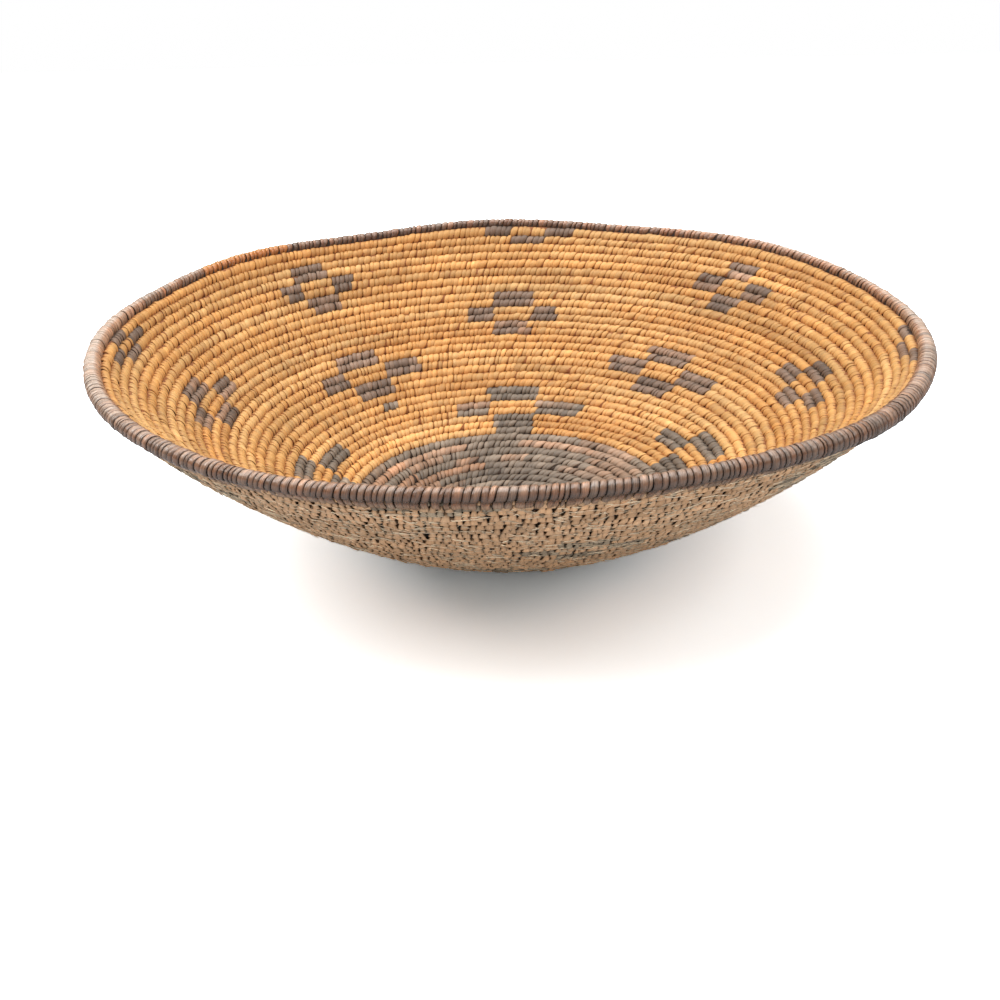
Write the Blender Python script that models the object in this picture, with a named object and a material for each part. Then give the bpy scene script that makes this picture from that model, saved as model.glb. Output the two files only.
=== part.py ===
"""Coiled basket: a wide, shallow bowl sewn from one long coil.

The coil starts at a small knot, runs flat for the base and then climbs the wall in level courses.
Dark sewing covers the middle, pale sewing covers the wall, and twenty small figures of dark sewing
are spread over the wall in five rings. A thick dark coil closes the rim.
All lengths are in metres, +Z is up, and the basket rests on z = 0 with its centre at the origin.
"""
import math

import bmesh
import bpy
import numpy as np

MM = 0.001

# The wall, followed outwards from the centre of the base
COURSES = 44                       # courses of coil between the centre and the rim
PITCH = 4.46 * MM                  # from one course to the next, along the wall
PITCH_SWELL = 0.6 * MM             # how far the borders of the hand-sewn courses stray from even
PITCH_WAVES = 7                    # half waves of that straying between the centre and the rim
BASE_FLAT = 17.5 * MM              # how far the base lies flat, from its centre
WALL_SLOPE = math.radians(46.4)    # slope of the wall where it meets the rim
SLOPE_POWER = 0.497                # how early the wall turns up: less is earlier
OVAL = 0.008                       # share by which the mouth is longer along one line than round
OVAL_LINE = math.radians(22)       # direction of that line, from +X
# Height by which the hand-made wall sways from level: cosine and sine part of each wave
SWAY = (
    (-0.1 * MM, 2.6 * MM),
    (-0.5 * MM, -0.7 * MM),
    (-0.7 * MM, 1.1 * MM),
    (0.1 * MM, 0.1 * MM),
)
SWAY_POWER = 2                     # how soon that sway dies out below the rim: more is sooner
# Height by which the rim and the courses next to it wander besides, in shorter waves
RIM_WANDER = (
    (-0.34 * MM, -0.18 * MM),
    (-0.13 * MM, 0.26 * MM),
    (0.02 * MM, -0.52 * MM),
    (0.03 * MM, 0.16 * MM),
    (0.08 * MM, -0.15 * MM),
    (-0.19 * MM, -0.12 * MM),
    (0.08 * MM, -0.45 * MM),
    (0.34 * MM, -0.01 * MM),
    (-0.23 * MM, 0.05 * MM),
)
WANDER_POWER = 24                  # how soon that wandering dies out below the rim

# The sewn coil
WALL = 6.0 * MM                    # thickness of the wall, from the coil's crest to its back
COIL_GAP = 0.65 * MM               # gap between neighbouring courses
SHOULDER_LIFT = 1.4 * MM           # height of the coil's shoulders over the middle of the wall
BACK_SHARE = 0.72                  # share of its width that the coil's worn back has
LOOP_POINTS = 24                   # corners in one turn of the coil
FIRST_POINTS_TURN = 14             # turns that have only every second corner
ROUNDING_TURNS = 5                 # turns over which the other corners come in
FIRST_TURN = 1.4                   # where the coil leaves the starting knot
DARK_COURSES = 16                  # courses of dark sewing in the middle
SPLICE_COURSE = 30                 # course in which the pale coil's foundation is spliced
STEP_SHARE = 0.25                  # share of a turn in which an outer course steps up a pitch
TAIL_WIDTH = 1.2 * MM              # width to which the coil's last end is thinned
TAIL_THICKNESS = 0.45              # share of the wall's thickness left at that end
SEAT_GAP = 0.3 * MM                # clearance between pieces that touch

# The starting knot
KNOT_BEVEL = 1.1 * MM              # how far the knot's top draws in
KNOT_LEAST_TOP = 0.4               # least share of the knot's width that its top keeps
KNOT_POINTS = 24                   # corners round the knot

# The rim
RIM_THICKNESS = 6.2 * MM           # thickness of the rim coil
RIM_REACH = 3.0 * MM               # from the end of the wall up to the rim's middle
RIM_SET_BACK = 1.0 * MM            # how far the rim's middle lies outside the middle of the wall
RIM_POINTS = 48                    # corners round the rim
RIM_PULL = 0.5                     # share by which every second corner follows the wall's flats
RIM_START = math.radians(300)      # where the rim's two ends meet
LEAST_GAP = 0.4 * MM               # least gap that the coil may leave to itself

# The dark figures: four blocks round a pale one, joined at their corners
SPLINT = 0.7 * MM                  # thickness of the dark stitches
STITCH = 2.7 * MM                  # from one stitch to the next, along the coil
SPLINT_LIFT = 0.35 * MM            # clearance of the dark stitches over the coil's crest
SNAP = 0.4 * MM                    # block edges this close to a corner of the coil move onto it
# Each ring: its name, the first course of the side blocks, counted from the rim, the courses in the
# top, side and bottom blocks, and its figures. Each figure: the direction of its middle in degrees, and
# the widths of its middle, left and right blocks in mean stitches, left and right as seen from inside
FIGURE_RINGS = (
    ("rim", 1, (0, 1, 1), {
        "right": (353.2, 6.4, 4.4, 4.6),
        "back": (85.9, 6.2, 5.2, 5.6),
    }),
    ("rim", 2, (1, 1, 1), {
        "left": (179.8, 5.4, 5.0, 5.3),
        "front": (261.6, 5.1, 4.9, 4.9),
    }),
    ("ring_2", 5, (2, 2, 2), {
        "back_right": (43.1, 5.6, 5.2, 5.0),
        "back_left": (129.4, 6.5, 3.7, 4.4),
        "front_left": (225, 6.1, 4.6, 4.6),
        "front_right": (315, 6.1, 4.6, 4.6),
    }),
    ("ring_3", 11, (2, 2, 2), {
        "right": (7.6, 6.2, 5.4, 6.0),
        "back": (88.9, 7.0, 4.9, 4.5),
        "left": (176.7, 7.3, 5.4, 6.2),
    }),
    ("ring_3", 13, (2, 2, 2), {
        "front": (281.7, 6.8, 5.5, 5.1),
    }),
    ("ring_4", 17, (2, 2, 2), {
        "back_right": (47.6, 7.9, 6.7, 7.7),
        "back_left": (129.9, 8.0, 5.2, 7.0),
        "front_left": (225, 8.0, 6.7, 6.7),
        "front_right": (315, 8.0, 6.7, 6.7),
    }),
    ("ring_5", 24, (2, 2, 3), {
        "right": (10.3, 8.8, 6.8, 6.7),
        "back": (88.8, 7.7, 5.9, 7.9),
        "left": (181, 7.6, 6.7, 8.6),
        "front": (270, 8.0, 6.7, 6.7),
    }),
)
FLAT_ANGLE = math.radians(1)       # facets of a figure that bend less than this become one

# Finishes: colour and roughness
DARK_SEWING = ((0.10, 0.075, 0.055), 0.6)
PALE_SEWING = ((0.58, 0.26, 0.07), 0.55)
RIM_SEWING = ((0.12, 0.065, 0.045), 0.35)
KNOT_SPLINT = ((0.09, 0.07, 0.055), 0.6)

# Worked out from the values above
WALL_LENGTH = COURSES * PITCH
HALF_WALL = WALL / 2
RIM_RADIUS = RIM_THICKNESS / 2
START_DIRECTION = math.radians(90)
CREST, RIGHT_SHOULDER, RIGHT_BACK, LEFT_BACK, LEFT_SHOULDER = range(5)
PROFILE_STEPS = 4000


def slope(distance):
    """Slope of the wall at a distance from the centre: level base, then a power curve up to the rim."""
    risen = np.clip((distance - BASE_FLAT) / (WALL_LENGTH - BASE_FLAT), 0, None)
    return WALL_SLOPE * risen ** SLOPE_POWER


def wall_profile():
    """Radius and height of the wall's middle at each distance: sums of the slope's cosine and sine."""
    distance = np.linspace(0, WALL_LENGTH + RIM_THICKNESS, PROFILE_STEPS)
    middle = slope((distance[1:] + distance[:-1]) / 2)
    step = distance[1] - distance[0]
    radius = np.concatenate([[0], np.cumsum(np.cos(middle)) * step])
    height = np.concatenate([[0], np.cumsum(np.sin(middle)) * step])
    return distance, radius, height + HALF_WALL


PROFILE = wall_profile()


def waves(parts, direction):
    """Sum of the waves round the basket in one direction, from their cosine and sine parts."""
    return sum(
        cosine * math.cos(wave * direction) + sine * math.sin(wave * direction)
        for wave, (cosine, sine) in enumerate(parts, start=1)
    )


def wall_frame(distance, direction):
    """Point in the middle of the wall, its unit vector up the wall, and its unit normal into the bowl."""
    table, radii, heights = PROFILE
    risen = max((distance - BASE_FLAT) / (WALL_LENGTH - BASE_FLAT), 0)
    radius = np.interp(distance, table, radii)
    radius *= 1 + risen ** SWAY_POWER * OVAL * math.cos(2 * (direction - OVAL_LINE))
    height = np.interp(distance, table, heights)
    height += risen ** SWAY_POWER * waves(SWAY, direction)
    height += min(risen, 1) ** WANDER_POWER * waves(RIM_WANDER, direction)
    angle = slope(distance)
    outwards = np.array([math.cos(direction), math.sin(direction), 0])
    upwards = np.array([0, 0, 1])
    along = math.cos(angle) * outwards + math.sin(angle) * upwards
    normal = math.cos(angle) * upwards - math.sin(angle) * outwards
    return radius * outwards + height * upwards, along, normal


def courses_climbed(turns):
    """Courses climbed after so many turns: a steady spiral at the centre, level courses at the rim.

    An outer course stays level and steps up by one pitch at the front, in STEP_SHARE of a turn.
    """
    course = math.floor(turns)
    part = turns - course
    step = min(max((part - 0.5) / STEP_SHARE + 0.5, 0), 1)
    eased = step * step * (3 - 2 * step)
    level = min(course / COURSES, 1)
    return course + (1 - level) * part + level * eased


def course_border(course):
    """Distance of the border that lies outside so many courses: even steps that stray by slow waves."""
    share = min(course / COURSES, 1)
    return PITCH * course + PITCH_SWELL * math.sin(PITCH_WAVES * math.pi * share)


def coil_edges(turns):
    """Distances of the coil's two edges, and the share of its width that is left.

    The tail of the last course thins out under the rim.
    """
    climbed = courses_climbed(turns)
    low = course_border(climbed - 1) + COIL_GAP / 2
    high = course_border(climbed) - COIL_GAP / 2
    end = min(high, WALL_LENGTH - SEAT_GAP)
    return low, end, max(end - low, TAIL_WIDTH) / (high - low)


def tail_end():
    """The last place in the last course where the thinning tail still has its least width."""
    corner = COURSES * LOOP_POINTS
    low, high, _ = coil_edges(corner / LOOP_POINTS)
    while high - low > TAIL_WIDTH:
        corner += 1
        low, high, _ = coil_edges(corner / LOOP_POINTS)
    return (corner - 0.5) / LOOP_POINTS


def exact_section(turns):
    """Five corners of the coil after so many turns, worn flat under the base, and the wall's normal."""
    low, high, full = coil_edges(turns)
    width = max(high - low, TAIL_WIDTH)
    depth = full + (1 - full) * TAIL_THICKNESS
    centre, along, normal = wall_frame(low + width / 2, START_DIRECTION + 2 * math.pi * turns)
    back = BACK_SHARE * width / 2
    corners = (
        (0, HALF_WALL),
        (width / 2, SHOULDER_LIFT),
        (back, -HALF_WALL),
        (-back, -HALF_WALL),
        (-width / 2, SHOULDER_LIFT),
    )
    points = np.array([centre + across * along + depth * up * normal for across, up in corners])
    points[:, 2] = np.maximum(points[:, 2], 0)
    return points, normal


def rounding(turns):
    """0 where the coil has only every second corner, rising to 1 where it has them all."""
    return min(max((turns - FIRST_POINTS_TURN) / ROUNDING_TURNS, 0), 1)


def corner_section(corner):
    """Section at one corner of the coil. Corners that are still coming in lie nearer to the flat."""
    turns = corner / LOOP_POINTS
    points, normal = exact_section(turns)
    share = rounding(turns)
    if corner % 2 == 0 or share == 1:
        return points, normal
    before, _ = exact_section((corner - 1) / LOOP_POINTS)
    after, _ = exact_section((corner + 1) / LOOP_POINTS)
    return share * points + (1 - share) * (before + after) / 2, normal


def coil_section(turns):
    """Section anywhere along the coil, on the straight run between two corners."""
    corner = math.floor(turns * LOOP_POINTS)
    part = turns * LOOP_POINTS - corner
    points, normal = corner_section(corner)
    next_points, next_normal = corner_section(corner + 1)
    mixed = (1 - part) * normal + part * next_normal
    return (1 - part) * points + part * next_points, mixed / np.linalg.norm(mixed)


def middle_of_run(turns):
    """The middle of the straight run that holds this place, where two lengths of coil can meet."""
    return (math.floor(turns * LOOP_POINTS) + 0.5) / LOOP_POINTS


def turns_for(length, turns):
    """Share of a turn that covers a length of coil at this place."""
    centre = coil_section(turns)[0].mean(axis=0)
    return length / (2 * math.pi * math.hypot(centre[0], centre[1]))


def material(name, colour, roughness):
    """A matt or glossy plant fibre."""
    result = bpy.data.materials.new(name)
    result.use_nodes = True
    shader = result.node_tree.nodes["Principled BSDF"]
    shader.inputs["Base Color"].default_value = (*colour, 1)
    shader.inputs["Roughness"].default_value = roughness
    shader.inputs["Metallic"].default_value = 0
    return result


def add_object(name, mesh_builder, finish):
    """Turn a bmesh into a named object with its own finish and outward faces."""
    bmesh.ops.recalc_face_normals(mesh_builder, faces=mesh_builder.faces)
    mesh = bpy.data.meshes.new(name)
    mesh_builder.to_mesh(mesh)
    mesh_builder.free()
    mesh.materials.append(finish)
    result = bpy.data.objects.new(name, mesh)
    bpy.context.scene.collection.objects.link(result)
    return result


def swept(sections):
    """One closed body from a row of sections with the same number of corners."""
    builder = bmesh.new()
    rings = [[builder.verts.new(point) for point in section] for section in sections]
    for ring, following in zip(rings, rings[1:]):
        for here, there in zip(range(len(ring)), [*range(1, len(ring)), 0]):
            builder.faces.new((ring[here], ring[there], following[there], following[here]))
    builder.faces.new(rings[0])
    builder.faces.new(rings[-1])
    return builder


def coil_length(name, start, end, finish):
    """The stretch of coil between two places, as one unbroken tube that prints its least gap to itself."""
    first = start + turns_for(SEAT_GAP / 2, start)
    last = end - turns_for(SEAT_GAP / 2, end)
    corners = range(math.floor(first * LOOP_POINTS) + 1, math.ceil(last * LOOP_POINTS))
    kept = [corner for corner in corners if corner % 2 == 0 or rounding(corner / LOOP_POINTS) > 0]
    sections = [coil_section(first)[0]]
    sections += [corner_section(corner)[0] for corner in kept]
    sections.append(coil_section(last)[0])
    result = add_object(name, swept(sections), finish)
    gap = least_gap(first, last)
    print(f"{name}: {last - first:.1f} turns, least gap to itself {gap / MM:.2f} mm")
    if gap < LEAST_GAP:
        print(f"{name}: the gap is under {LEAST_GAP / MM:.2f} mm")
    return result


def least_gap(first, last):
    """Least gap between each course and the next, on points at the corners and the middles of the runs."""
    least = math.inf
    samples = np.arange(first + 1 / LOOP_POINTS, last - 1, 0.5 / LOOP_POINTS)
    for turns in samples:
        inner = coil_section(turns)[0]
        outer = coil_section(turns + 1)[0]
        edge = (inner[RIGHT_SHOULDER], inner[RIGHT_BACK])
        facing = (outer[LEFT_SHOULDER], outer[LEFT_BACK])
        least = min(least, *(np.linalg.norm(a - b) for a in edge for b in facing))
    return least


def starting_knot(finish):
    """The knot that the coil starts from: a snail-shaped button whose step faces the coil's first end."""
    start = FIRST_TURN + turns_for(SEAT_GAP / 2, FIRST_TURN)
    outline = []
    for count in range(KNOT_POINTS + 1):
        turns = start + count / KNOT_POINTS * (1 - 2 * turns_for(SEAT_GAP, start + 1))
        section, _ = coil_section(turns)
        shoulder = section[LEFT_SHOULDER][:2]
        outline.append(shoulder * (1 - SEAT_GAP / np.linalg.norm(shoulder)))
    outline = np.array(outline)
    middle = outline.mean(axis=0)
    reach = np.linalg.norm(outline - middle, axis=1).min()
    drawn_in = middle + (outline - middle) * max(1 - KNOT_BEVEL / reach, KNOT_LEAST_TOP)
    shoulder_height = HALF_WALL + SHOULDER_LIFT
    levels = ((drawn_in, 0), (outline, KNOT_BEVEL), (outline, shoulder_height), (drawn_in, WALL))
    sections = [[(x, y, height) for x, y in ring] for ring, height in levels]
    return add_object("starting_knot", swept(sections), finish)


def rim_coil(finish):
    """The thick last coil, an unbroken tube along the top of the wall whose two ends meet."""
    step = 2 * math.pi / RIM_POINTS

    def exact(count):
        point, _, normal = wall_frame(WALL_LENGTH + RIM_REACH, START_DIRECTION + step * count)
        return point - normal * RIM_SET_BACK

    def corner(count):
        if count % 2 == 0:
            return exact(count)
        return (1 - RIM_PULL) * exact(count) + RIM_PULL * (exact(count - 1) + exact(count + 1)) / 2

    first = math.floor((RIM_START - START_DIRECTION) / step)
    route = [corner(first + count) for count in range(RIM_POINTS + 1)]
    begin = (route[0] + route[1]) / 2
    towards = (route[1] - route[0]) / np.linalg.norm(route[1] - route[0])
    points = [begin + towards * SEAT_GAP / 2, *route[1:], begin - towards * SEAT_GAP / 2]
    curve = bpy.data.curves.new("rim_coil", "CURVE")
    curve.dimensions = "3D"
    curve.bevel_depth = RIM_RADIUS
    curve.bevel_resolution = 2
    curve.use_fill_caps = True
    spline = curve.splines.new("POLY")
    spline.points.add(len(points) - 1)
    for place, point in zip(spline.points, points):
        place.co = (*point, 1)
    curve.materials.append(finish)
    result = bpy.data.objects.new("rim_coil", curve)
    bpy.context.scene.collection.objects.link(result)
    return result


def figure_columns(widths, radius, direction):
    """Directions of the edges between a figure's columns, with the coil's corners among them."""
    middle, left, right = widths
    overlap = STITCH / 2
    edges = [-middle / 2 - right, -middle / 2, -middle / 2 + overlap]
    edges += [middle / 2 - overlap, middle / 2, middle / 2 + left]
    turns = [edge / radius for edge in edges]
    run = 2 * math.pi / LOOP_POINTS
    first = math.ceil((direction + turns[0] - START_DIRECTION) / run)
    last = math.floor((direction + turns[-1] - START_DIRECTION) / run)
    for count in range(first, last + 1):
        corner = START_DIRECTION + count * run - direction
        nearest = min(range(len(turns)), key=lambda place: abs(turns[place] - corner))
        if abs(turns[nearest] - corner) * radius < SNAP:
            turns[nearest] = corner
        else:
            turns.append(corner)
    return sorted(turns), overlap / radius


def figure(name, side_course, rows, widths, direction, finish):
    """Four blocks of dark stitches round a pale one, lying over the crests of the courses they cover.

    The blocks meet at their corners, where their slanted stitches overlap by half a stitch.
    """
    top, side, bottom = rows
    offset = (direction - START_DIRECTION) / (2 * math.pi)
    part = offset - math.floor(offset)
    outer_course = COURSES + 1 - (side_course - top) - round(part)
    count = top + side + bottom
    first_course = outer_course - count + 1
    centre = coil_section(first_course + count / 2 + part)[0].mean(axis=0)
    radius = math.hypot(centre[0], centre[1])
    columns, overlap = figure_columns(widths, radius, direction)
    half = widths[0] / 2 / radius

    def ground(line, column):
        """Point on the coil under a line: even lines lie between courses, odd ones on the crests."""
        place = part + column / (2 * math.pi)
        course = first_course + line // 2
        section, normal = coil_section(course + place)
        if line % 2 == 1:
            return section[CREST], normal
        below, _ = coil_section(course - 1 + place)
        if course + round(part) > COURSES:
            return below[RIGHT_SHOULDER], normal
        return (section[LEFT_SHOULDER] + below[RIGHT_SHOULDER]) / 2, normal

    def is_dark(line, column):
        """Whether the cell over this line and column belongs to one of the four blocks."""
        course = line // 2
        middle = (columns[column] + columns[column + 1]) / 2
        if bottom <= course < bottom + side:
            return abs(middle) > half - overlap
        return abs(middle) < half

    builder = bmesh.new()
    corners = {}

    def corner(line, column, level):
        key = (line, column, level)
        if key not in corners:
            point, normal = ground(line, columns[column])
            corners[key] = builder.verts.new(point + normal * (SPLINT_LIFT + level * SPLINT))
        return corners[key]

    grid = [(line, column) for line in range(2 * count) for column in range(len(columns) - 1)]
    cells = [place for place in grid if is_dark(*place)]
    for line, column in cells:
        loop = ((line, column), (line + 1, column), (line + 1, column + 1), (line, column + 1))
        builder.faces.new([corner(*place, 1) for place in loop])
        builder.faces.new([corner(*place, 0) for place in reversed(loop)])
        beside = ((line, column - 1), (line + 1, column), (line, column + 1), (line - 1, column))
        for neighbour, here, there in zip(beside, loop, [*loop[1:], loop[0]]):
            if neighbour not in cells:
                wall = ((*there, 1), (*here, 1), (*here, 0), (*there, 0))
                builder.faces.new([corner(*place) for place in wall])
    bmesh.ops.dissolve_limit(
        builder, angle_limit=FLAT_ANGLE, verts=builder.verts, edges=builder.edges
    )
    return add_object(name, builder, finish)


def build_basket():
    """All the pieces of the basket."""
    for old in list(bpy.data.objects):
        bpy.data.objects.remove(old, do_unlink=True)
    dark = material("dark_sewing", *DARK_SEWING)
    pale = material("pale_sewing", *PALE_SEWING)
    rim = material("rim_sewing", *RIM_SEWING)
    knot = material("knot_splint", *KNOT_SPLINT)
    dark_end = middle_of_run(DARK_COURSES + 0.5)
    splice = middle_of_run(SPLICE_COURSE + 0.5)
    starting_knot(knot)
    coil_length("dark_centre_coil", FIRST_TURN, dark_end, dark)
    coil_length("lower_wall_coil", dark_end, splice, pale)
    coil_length("upper_wall_coil", splice, tail_end(), pale)
    rim_coil(rim)
    for ring, side_course, rows, figures in FIGURE_RINGS:
        for place, (degrees, *stitches) in figures.items():
            widths = [count * STITCH for count in stitches]
            figure(f"figure_{ring}_{place}", side_course, rows, widths, math.radians(degrees), dark)


build_basket()
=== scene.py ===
# %% [markdown]
# # A coiled basket, stitch by stitch
# A coiled basket is one long bundle of thin rods, laid in a spiral and sewn to itself with a flat
# strip of split plant stem, a splint. Every stitch wraps the new course and catches the course below.
# A picture of stitches on a smooth bowl would look flat at the rim and in the grooves, so this lesson
# builds each stitch as its own small curved strip, worked out with numpy for thousands at once.
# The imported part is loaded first. It fixes where everything is, in metres, with +Z up.

import math

import bpy
import numpy as np
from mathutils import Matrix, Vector


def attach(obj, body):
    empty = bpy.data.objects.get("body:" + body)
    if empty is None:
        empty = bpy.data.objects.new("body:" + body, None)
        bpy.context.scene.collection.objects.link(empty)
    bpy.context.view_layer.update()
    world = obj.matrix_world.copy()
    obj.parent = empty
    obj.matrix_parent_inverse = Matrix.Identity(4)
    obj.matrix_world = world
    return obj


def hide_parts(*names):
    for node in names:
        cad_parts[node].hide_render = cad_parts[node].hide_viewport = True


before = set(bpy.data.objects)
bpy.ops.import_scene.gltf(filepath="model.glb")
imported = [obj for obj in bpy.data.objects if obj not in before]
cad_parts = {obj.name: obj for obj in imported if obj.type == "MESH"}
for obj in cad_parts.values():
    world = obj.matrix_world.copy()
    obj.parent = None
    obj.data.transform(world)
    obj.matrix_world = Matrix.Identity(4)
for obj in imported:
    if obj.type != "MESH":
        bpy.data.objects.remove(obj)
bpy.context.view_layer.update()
MM = 0.001

# %% [markdown]
# ## The wall
# The bowl could be turned like a pot on a wheel, but a hand-made basket isn't round. Here the wall is
# a formula of two numbers: how far up the wall a point lies, counted along the wall from the middle of
# the base, and its direction round the bowl. The base is flat, and then the slope grows as a power of
# the distance. The mouth is slightly oval, the wall sways up and down by a few long waves, and the
# rim and the courses next to it wander by shorter ones.

# %% The wall as a formula
COURSES = 44                       # courses of coil between the centre and the rim
PITCH = 4.46 * MM                  # from one course to the next, along the wall
PITCH_SWELL = 0.6 * MM             # how far the borders of the courses stray from even
PITCH_WAVES = 7                    # half waves of that straying between the centre and the rim
BASE_FLAT = 17.5 * MM              # how far the base lies flat, from its centre
WALL_SLOPE = math.radians(46.4)    # slope of the wall where it meets the rim
SLOPE_POWER = 0.497                # how early the wall turns up
OVAL = 0.008                       # share by which the mouth is longer along one line than round
OVAL_LINE = math.radians(22)
# Heights of the waves round the basket, cosine and sine part of each: those of the whole wall, and
# those of the rim and the courses next to it
SWAY = np.array([(-0.1, 2.6), (-0.5, -0.7), (-0.7, 1.1), (0.1, 0.1)]) * MM
SWAY_POWER = 2                     # how soon the sway dies out below the rim
RIM_WANDER = np.array([
    (-0.34, -0.18), (-0.13, 0.26), (0.02, -0.52), (0.03, 0.16), (0.08, -0.15),
    (-0.19, -0.12), (0.08, -0.45), (0.34, -0.01), (-0.23, 0.05),
]) * MM
WANDER_POWER = 24                  # how soon the wandering dies out below the rim
WALL = 6.0 * MM                    # thickness of the wall, from the coil's crest to its back
HALF_WALL = WALL / 2
WALL_LENGTH = COURSES * PITCH
BEYOND_RIM = 14 * MM               # how far the tables run on past the last course
START_DIRECTION = math.radians(90)


def slope(distance):
    """Slope of the wall: zero on the base, then WALL_SLOPE times a power of the share of the way up."""
    risen = np.clip((distance - BASE_FLAT) / (WALL_LENGTH - BASE_FLAT), 0, None)
    return WALL_SLOPE * risen ** SLOPE_POWER


def wall_tables():
    """Radius and height against distance: the running sums of the slope's cosine and sine."""
    distance = np.linspace(0, WALL_LENGTH + BEYOND_RIM, 4000)
    middle = slope((distance[1:] + distance[:-1]) / 2)
    step = distance[1]
    radius = np.concatenate([[0], np.cumsum(np.cos(middle)) * step])
    height = np.concatenate([[0], np.cumsum(np.sin(middle)) * step])
    return distance, radius, height + HALF_WALL


TABLE, RADII, HEIGHTS = wall_tables()


def waves(parts, direction):
    """Sum of cosines and sines of 1, 2, 3 and more times the direction, each with its own height."""
    total = np.zeros(np.shape(direction))
    for wave, (cosine, sine) in enumerate(parts, start=1):
        total += cosine * np.cos(wave * direction) + sine * np.sin(wave * direction)
    return total


def wall_point(distance, direction, lift):
    """Point at a distance up the wall, in a direction, lifted off the middle of the wall.

    The lift goes along the wall's normal, into the bowl: it takes lift * sin(slope) off the radius
    and adds lift * cos(slope) to the height. No point lies under the floor, because the base is worn.
    """
    distance, direction, lift = np.broadcast_arrays(distance, direction, lift)
    angle = slope(distance)
    risen = np.clip(distance - BASE_FLAT, 0, None) / (WALL_LENGTH - BASE_FLAT)
    share = risen ** SWAY_POWER
    radius = np.interp(distance, TABLE, RADII) * (1 + share * OVAL * np.cos(2 * (direction - OVAL_LINE)))
    height = np.interp(distance, TABLE, HEIGHTS) + share * waves(SWAY, direction)
    height = height + np.minimum(risen, 1) ** WANDER_POWER * waves(RIM_WANDER, direction)
    radius = radius - lift * np.sin(angle)
    height = np.maximum(height + lift * np.cos(angle), 0)
    return np.stack([radius * np.cos(direction), radius * np.sin(direction), height], axis=-1)


print("rim radius", round(float(np.interp(WALL_LENGTH, TABLE, RADII)), 4), "m")

# %% [markdown]
# ## The coil's route
# The coil could be many closed rings, which would be easier, but the real one is a single spiral: it
# creeps outwards all the time near the centre, while the outer courses stay level and step up by one
# course at the front. The route is given in turns, so that 12.5 is halfway round the thirteenth turn.

# %% The route of the coil
STEP_SHARE = 0.25                  # share of a turn in which an outer course steps up
FIRST_TURN = 0.62                  # the first stitch round the knot
LAST_TURN = 44.55                  # the last stitch before the tail ends under the rim
TAIL_THICKNESS = 0.45              # share of the wall's thickness left where the tail is thinnest
TOP_FOLLOWS = 0.9                  # share of the rim's rise that the top of the last course follows
KNOT_END = 1.4                     # where the knot ends and the dark coil begins
DARK_END = 16.52                   # where the dark middle ends
SPLICE = 30.52                     # where the pale coil is spliced
RIM_RADIUS = 3.1 * MM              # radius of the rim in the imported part
RIM_SPLINT = 0.45 * MM             # thickness of the splints over the rim
RIM_CORE = 2.65 * MM               # radius of the rim under them, before the swelling
# Share by which the rim is thicker here and thinner there: its mean, and the waves round the basket
RIM_SWELL = 0.922
RIM_SWELL_WAVES = (
    (0.035, -0.224), (0.119, -0.059), (-0.022, -0.152), (-0.049, -0.02), (-0.016, -0.013),
)


def courses_climbed(turns):
    """Courses climbed after so many turns: a steady spiral in the middle, level courses at the rim."""
    course = np.floor(turns)
    part = turns - course
    step = np.clip((part - 0.5) / STEP_SHARE + 0.5, 0, 1)
    eased = step * step * (3 - 2 * step)
    level = np.minimum(course / COURSES, 1)
    return course + (1 - level) * part + level * eased


def course_border(course):
    """Distance of the border outside so many courses: even steps that stray by slow waves."""
    share = np.minimum(course / COURSES, 1)
    return PITCH * course + PITCH_SWELL * np.sin(PITCH_WAVES * math.pi * share)


def rim_rise(direction):
    """How far the rim's middle moves up the wall where the rim is thin, so that its top stays put."""
    return RIM_RADIUS - RIM_CORE * (RIM_SWELL + waves(RIM_SWELL_WAVES, direction)) - RIM_SPLINT


def coil_place(turns):
    """Distance of the coil's middle, its width and its direction. The tail narrows under the rim.

    The last course is wider where the rim is thin, and narrower where it is thick.
    """
    climbed = courses_climbed(turns)
    direction = START_DIRECTION + 2 * math.pi * turns
    rise = TOP_FOLLOWS * rim_rise(direction)
    low = course_border(climbed - 1)
    high = course_border(climbed) + rise * np.clip(climbed - (COURSES - 1), 0, 1)
    high = np.minimum(high, WALL_LENGTH + rise)
    return (low + high) / 2, high - low, direction


def thinned(width):
    """Share of the full thickness that the coil has where it is narrower than a whole course."""
    full = np.minimum(width / PITCH, 1)
    return full + (1 - full) * TAIL_THICKNESS


def route_length(turns):
    """Length of the coil from the first of these places to each of them."""
    middle, _, direction = coil_place(turns)
    points = wall_point(middle, direction, 0)
    steps = np.linalg.norm(np.diff(points, axis=0), axis=1)
    return np.concatenate([[0], np.cumsum(steps)])


fine_turns = np.linspace(FIRST_TURN, LAST_TURN, 22000)    # far more places than stitches
fine_length = route_length(fine_turns)
print("length of the coil", round(float(fine_length[-1]), 1), "m")

# %% [markdown]
# ## Where the stitches sit
# A machine would space them evenly. The weaver's awl lands a little early or late each time, and the
# stitches lie closer together near the centre, where the coil turns tightly. So the places come from
# even steps along the coil, each moved by a small random share, with a fixed seed.

# %% The places of the stitches
STITCH = 2.72 * MM                 # from one stitch to the next on the wall
CENTRE_STITCH = 1.7 * MM           # the same at the knot
FULL_STITCH_TURN = 7               # from here on the stitches have their full spacing
SPACING_SPREAD = 0.18              # share by which the spacing differs from stitch to stitch
chance = np.random.default_rng(44)


def spacing(turns):
    """Distance between stitches: CENTRE_STITCH at the knot, rising evenly to STITCH."""
    share = np.clip(turns / FULL_STITCH_TURN, 0, 1)
    return CENTRE_STITCH + (STITCH - CENTRE_STITCH) * share


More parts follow.
